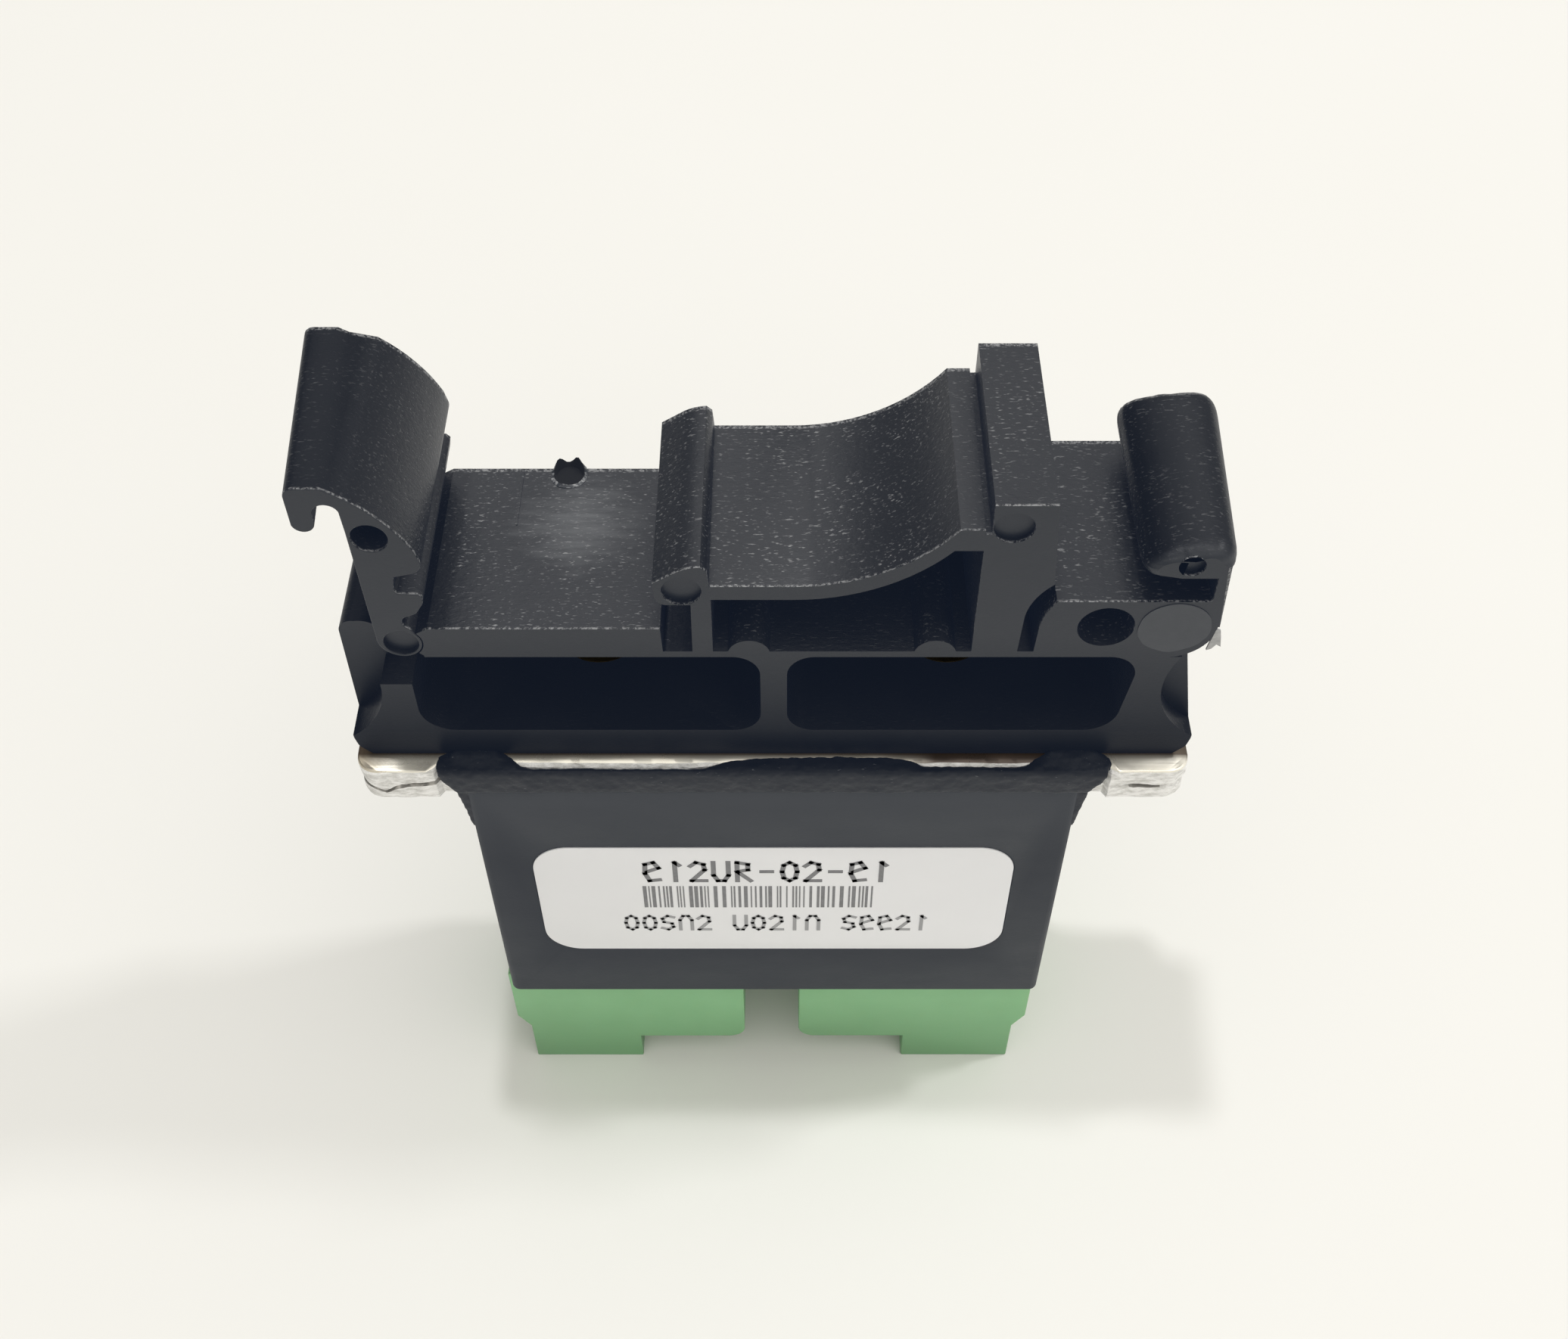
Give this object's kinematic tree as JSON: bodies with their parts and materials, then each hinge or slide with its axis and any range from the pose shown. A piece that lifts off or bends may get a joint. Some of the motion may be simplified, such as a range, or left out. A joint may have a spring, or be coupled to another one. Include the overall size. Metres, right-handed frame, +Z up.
{
  "type": "solid state relay",
  "caption": "Potted solid state relay on a snap-in foot for 35 mm rail, with a flexing latch, metal base plate and pluggable screw terminals.",
  "frame": {"origin": "middle of the bounding box at the rest plane, under the two plugs", "axes": "+Z up through the relay to the rail foot, X along the foot from latch (-X) to fixed hook (+X), -Y the labelled face"},
  "size_m": [0.0408, 0.0128, 0.0499],
  "materials": {
    "black_nylon": "dark grey black moulded nylon, fine spark-eroded grain",
    "plate_metal": "bare rolled plate with sheared edges",
    "zinc_steel": "zinc plated",
    "insert_brass": "turned brass",
    "black_resin": "cast potting compound",
    "black_case": "matt moulded case",
    "label_paper": "white label, grey print",
    "board_laminate": "green solder resist",
    "chip_black": "moulded package",
    "chip_white": "moulded package",
    "pad_grey": "thermal pad",
    "tinned_metal": "tin plated",
    "capacitor_yellow": "film capacitor box",
    "resistor_blue": "lacquered",
    "green_plastic": "moulded terminal plastic"
  },
  "bodies": {
    "relay": {"rail_foot": "black_nylon", "base_plate": "plate_metal", "foot_screws": "zinc_steel", "foot_inserts": "insert_brass", "resin_seal": "black_resin", "body_shell": "black_case", "potting_fill": "black_resin", "label": "label_paper", "circuit_board": "board_laminate", "power_triac": "chip_black", "insulating_pad": "pad_grey", "triac_leads": "tinned_metal", "optocoupler": "chip_white", "snubber_capacitor": "capacitor_yellow", "snubber_resistor": "resistor_blue", "input_resistor": "resistor_blue", "header_left": "green_plastic", "header_right": "green_plastic", "header_pins_left": "tinned_metal", "header_pins_right": "tinned_metal"},
    "latch": {"rail_latch": "black_nylon"},
    "left_plug": {"plug_left": "green_plastic", "contacts_left": "tinned_metal"},
    "right_plug": {"plug_right": "green_plastic", "contacts_right": "tinned_metal"},
    "screw_left_front": {"terminal_screw_left_front": "zinc_steel"},
    "clamp_left_front": {"wire_clamp_left_front": "tinned_metal"},
    "screw_left_rear": {"terminal_screw_left_rear": "zinc_steel"},
    "clamp_left_rear": {"wire_clamp_left_rear": "tinned_metal"},
    "screw_right_front": {"terminal_screw_right_front": "zinc_steel"},
    "clamp_right_front": {"wire_clamp_right_front": "tinned_metal"},
    "screw_right_rear": {"terminal_screw_right_rear": "zinc_steel"},
    "clamp_right_rear": {"wire_clamp_right_rear": "tinned_metal"}
  },
  "joints": [
    {"name": "latch_flex", "type": "hinge", "parent": "relay", "child": "latch", "pos_m": [-0.0169, 0, 0.0401], "axis": [0, -1, 0], "range_deg": [0, 15], "stiffness_Nm_per_rad": 0.45},
    {"name": "plug_pull_left", "type": "slide", "parent": "relay", "child": "left_plug", "axis": [0, 0, -1], "range_m": [0, 0.008]},
    {"name": "plug_pull_right", "type": "slide", "parent": "relay", "child": "right_plug", "axis": [0, 0, -1], "range_m": [0, 0.008]},
    {"name": "clamp_lift_left_front", "type": "slide", "parent": "left_plug", "child": "clamp_left_front", "axis": [-1, 0, 0], "range_m": [0, 0.0008]},
    {"name": "screw_turn_left_front", "type": "hinge", "parent": "left_plug", "child": "screw_left_front", "pos_m": [-0.0142, -0.00254, 0.0068], "axis": [1, 0, 0], "range_deg": [0, 577]},
    {"name": "clamp_lift_left_rear", "type": "slide", "parent": "left_plug", "child": "clamp_left_rear", "axis": [-1, 0, 0], "range_m": [0, 0.0008]},
    {"name": "screw_turn_left_rear", "type": "hinge", "parent": "left_plug", "child": "screw_left_rear", "pos_m": [-0.0142, 0.00254, 0.0068], "axis": [1, 0, 0], "range_deg": [0, 577]},
    {"name": "clamp_lift_right_front", "type": "slide", "parent": "right_plug", "child": "clamp_right_front", "axis": [1, 0, 0], "range_m": [0, 0.0008]},
    {"name": "screw_turn_right_front", "type": "hinge", "parent": "right_plug", "child": "screw_right_front", "pos_m": [0.0138, -0.00254, 0.0068], "axis": [-1, 0, 0], "range_deg": [0, 577]},
    {"name": "clamp_lift_right_rear", "type": "slide", "parent": "right_plug", "child": "clamp_right_rear", "axis": [1, 0, 0], "range_m": [0, 0.0008]},
    {"name": "screw_turn_right_rear", "type": "hinge", "parent": "right_plug", "child": "screw_right_rear", "pos_m": [0.0138, 0.00254, 0.0068], "axis": [-1, 0, 0], "range_deg": [0, 577]}
  ],
  "couplings": [
    {"joint": "screw_turn_left_front", "follows": "clamp_lift_left_front", "rad_per_m": 12566},
    {"joint": "screw_turn_left_rear", "follows": "clamp_lift_left_rear", "rad_per_m": 12566},
    {"joint": "screw_turn_right_front", "follows": "clamp_lift_right_front", "rad_per_m": 12566},
    {"joint": "screw_turn_right_rear", "follows": "clamp_lift_right_rear", "rad_per_m": 12566}
  ]
}
